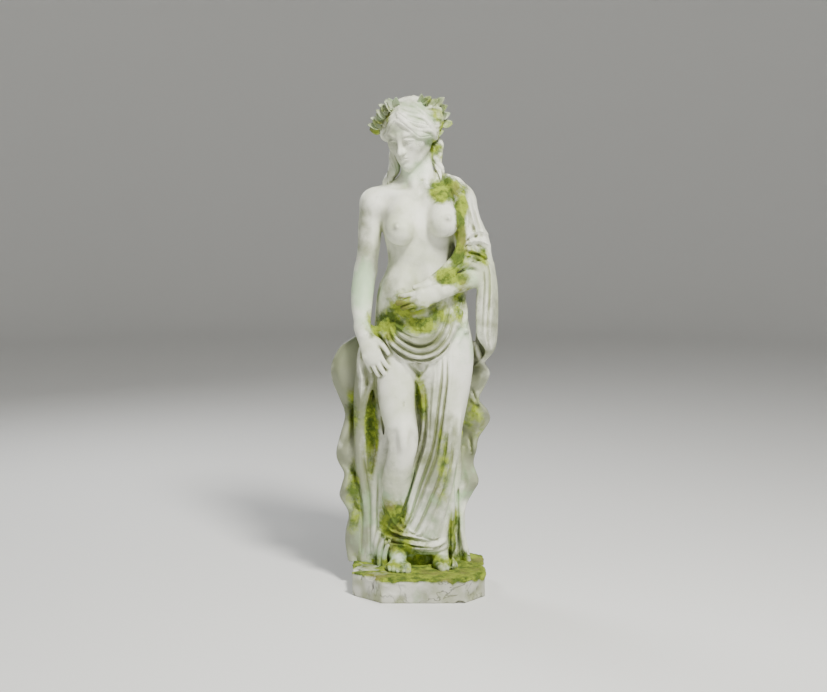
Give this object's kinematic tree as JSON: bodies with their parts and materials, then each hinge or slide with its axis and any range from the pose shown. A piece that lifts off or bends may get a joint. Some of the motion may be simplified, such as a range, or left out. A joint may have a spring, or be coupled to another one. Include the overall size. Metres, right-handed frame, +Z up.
{
  "type": "draped marble statue",
  "caption": "Life-size standing draped female figure in the classical manner, laurel-wreathed, on a low chamfered plinth.",
  "frame": {"origin": "middle of the plinth's underside", "axes": "+Z up, the figure faces -Y, +X is the viewer's right when facing the statue"},
  "size_m": [0.5884, 0.43, 1.75],
  "materials": {
    "marble": "weathered white marble, softly worn, with moss and algae in the folds",
    "plinth_marble": "rough-sawn grey-veined white marble, mossy on top"
  },
  "bodies": {
    "root": {"figure": "marble", "plinth": "plinth_marble"}
  },
  "joints": []
}
